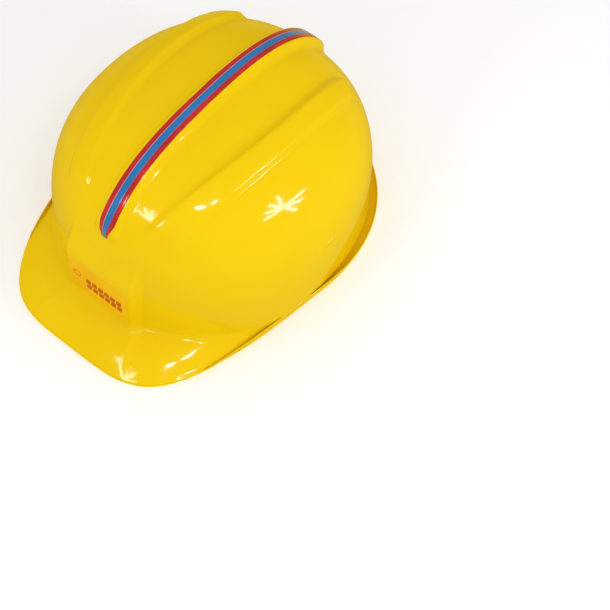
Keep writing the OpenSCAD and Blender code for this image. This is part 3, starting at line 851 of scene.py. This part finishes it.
def printed_paper():
    mat = bpy.data.materials.new("printed_paper")
    mat.use_nodes = True
    nodes, links = mat.node_tree.nodes, mat.node_tree.links
    shader = nodes["Principled BSDF"]
    where, rows = nodes.new("ShaderNodeTexCoord"), nodes.new("ShaderNodeTexBrick")
    rows.inputs["Scale"].default_value = 420
    rows.inputs["Mortar Size"].default_value = 0.17
    rows.inputs["Brick Width"].default_value = 1.3
    rows.inputs["Row Height"].default_value = 0.6
    rows.inputs["Color1"].default_value = (0.20, 0.20, 0.21, 1)
    rows.inputs["Color2"].default_value = (0.62, 0.62, 0.60, 1)
    rows.inputs["Mortar"].default_value = (0.70, 0.70, 0.69, 1)
    links.new(where.outputs["Object"], rows.inputs["Vector"])
    fibre = nodes.new("ShaderNodeTexNoise")
    fibre.inputs["Scale"].default_value = 700
    links.new(where.outputs["Object"], fibre.inputs["Vector"])
    links.new(rows.outputs["Color"], shader.inputs["Base Color"])
    tooth = nodes.new("ShaderNodeBump")
    tooth.inputs["Strength"].default_value, tooth.inputs["Distance"].default_value = 0.2, 0.0002
    links.new(fibre.outputs["Fac"], tooth.inputs["Height"])
    links.new(tooth.outputs["Normal"], shader.inputs["Normal"])
    shader.inputs["Roughness"].default_value = 0.85
    return mat


finish_piece(paper_label, "hat", "label_paper", printed_paper(), "care_label")

# ------------------------------------------------- stage, lights, camera ----
# A pale table that only the camera sees, a white room, and small softboxes
# whose reflections sit on the dome.
floor = make_mesh("table", [(-4000, -4000, -0.3), (4000, -4000, -0.3),
                            (4000, 4000, -0.3), (-4000, 4000, -0.3)], [(0, 1, 2, 3)], flat=True)
paper = bpy.data.materials.new("pale_table")
paper.use_nodes = True
nodes, links = paper.node_tree.nodes, paper.node_tree.links
surface = nodes["Principled BSDF"]
surface.inputs["Base Color"].default_value = (0.93, 0.93, 0.93, 1)
surface.inputs["Roughness"].default_value = 0.9
surface.inputs["Emission Color"].default_value = (1, 1, 1, 1)
surface.inputs["Emission Strength"].default_value = 0.1
# seen from below, the table lets the view through
through, facing = nodes.new("ShaderNodeBsdfTransparent"), nodes.new("ShaderNodeNewGeometry")
choose = nodes.new("ShaderNodeMixShader")
links.new(facing.outputs["Backfacing"], choose.inputs[0])
links.new(surface.outputs[0], choose.inputs[1])
links.new(through.outputs[0], choose.inputs[2])
links.new(choose.outputs[0], nodes["Material Output"].inputs[0])
floor.data.materials.append(paper)
floor.visible_shadow = floor.visible_diffuse = floor.visible_glossy = False
bpy.context.scene.view_settings.view_transform = "Standard"

world = bpy.data.worlds.new("studio")
bpy.context.scene.world = world
world.use_nodes = True
sky = world.node_tree
even, mirrored = sky.nodes["Background"], sky.nodes.new("ShaderNodeBackground")
even.inputs["Color"].default_value = (1, 1, 1, 1)
even.inputs["Strength"].default_value = 0.80
# the gloss reflects a warm glow, as the hat throws on what stands round it:
# stronger from the table below, weaker from the room above
heading, split = sky.nodes.new("ShaderNodeTexCoord"), sky.nodes.new("ShaderNodeSeparateXYZ")
mirrored.inputs["Color"].default_value = (1, 0.72, 0.12, 1)
fade = sky.nodes.new("ShaderNodeMapRange")
fade.inputs["From Min"].default_value, fade.inputs["From Max"].default_value = -0.25, 0.1
fade.inputs["To Min"].default_value, fade.inputs["To Max"].default_value = 0.60, 0.25
sky.links.new(heading.outputs["Generated"], split.inputs[0])
sky.links.new(split.outputs["Z"], fade.inputs["Value"])
sky.links.new(fade.outputs["Result"], mirrored.inputs["Strength"])
kind_of_ray, either = sky.nodes.new("ShaderNodeLightPath"), sky.nodes.new("ShaderNodeMixShader")
sky.links.new(kind_of_ray.outputs["Is Glossy Ray"], either.inputs[0])
sky.links.new(even.outputs[0], either.inputs[1])
sky.links.new(mirrored.outputs[0], either.inputs[2])
sky.links.new(either.outputs[0], sky.nodes["World Output"].inputs[0])


def softbox(name, place, aim, size, power):
    lamp = bpy.data.lights.new(name, "AREA")
    lamp.shape, lamp.size, lamp.size_y, lamp.energy = "RECTANGLE", size[0], size[1], power
    holder = bpy.data.objects.new(name, lamp)
    bpy.context.collection.objects.link(holder)
    holder.location = place
    holder.rotation_euler = (Vector(aim) - Vector(place)).to_track_quat("-Z", "Y").to_euler()
    return holder


def umbrella(name, plan, height_angle, distance, spokes, length, power, about=(0.02, 0, 0.08)):
    """Lit ribs fanned out round a middle, at a plan angle from the peak."""
    a, e = math.radians(plan), math.radians(height_angle)
    away = Vector((math.sin(a) * math.cos(e), -math.cos(a) * math.cos(e), math.sin(e)))
    hub = Vector(about) + away * distance
    across = away.cross(Vector((0, 0, 1))).normalized()
    upward = across.cross(away).normalized()
    for k, t in enumerate(spokes):
        rib = across * math.cos(math.radians(t)) + upward * math.sin(math.radians(t))
        lamp = bpy.data.lights.new("%s_%d" % (name, k), "AREA")
        lamp.shape, lamp.size, lamp.size_y, lamp.energy = "RECTANGLE", length, 0.016, power
        holder = bpy.data.objects.new("%s_%d" % (name, k), lamp)
        bpy.context.collection.objects.link(holder)
        holder.location = hub + rib * length * 0.62
        holder.rotation_euler = Matrix((rib, away.cross(rib), away)).transposed().to_euler()


umbrella("umbrella_side", 104, 16, 0.62, (12, 40, 68, 100, 195, 222, 250), 0.13, 0.115)
umbrella("umbrella_front", -2, 31, 0.34, (20, 55, 85, 115, 150), 0.075, 0.034,
         (0.019, -0.061, 0.1))
softbox("high_window_a", (0.50, -0.25, 0.95), (0, 0, 0.08), (0.09, 0.02), 0.5)
softbox("high_window_b", (0.42, -0.42, 0.95), (0, 0, 0.08), (0.09, 0.02), 0.5)
softbox("table_bounce", (0.0, -0.1, -0.7), (0, 0, 0), (0.35, 0.35), 3.8)

camera = bpy.data.objects.new("camera", bpy.data.cameras.new("camera"))
bpy.context.collection.objects.link(camera)
bpy.context.scene.camera = camera
AZIMUTH, ELEVATION, DISTANCE, LENS = 40.1, 54.5, 0.816, 77.0
target = Vector((0, HEAD_Y * 0.001, 0.054))
az, el = math.radians(AZIMUTH), math.radians(ELEVATION)
back = Vector((math.sin(az) * math.cos(el), -math.cos(az) * math.cos(el), math.sin(el)))
camera.location = target + back * DISTANCE
camera.data.lens = LENS
# the view looks past the hat, in degrees, so it sits left of and above the middle
LOOK_RIGHT, LOOK_DOWN = 4.0116, 6.3112
look = (-back).to_track_quat("-Z", "Y")
aside = Vector((math.tan(math.radians(LOOK_RIGHT)), -math.tan(math.radians(LOOK_DOWN)), -1))
camera.rotation_mode = "QUATERNION"
camera.rotation_quaternion = look @ Vector((0, 0, -1)).rotation_difference(aside)
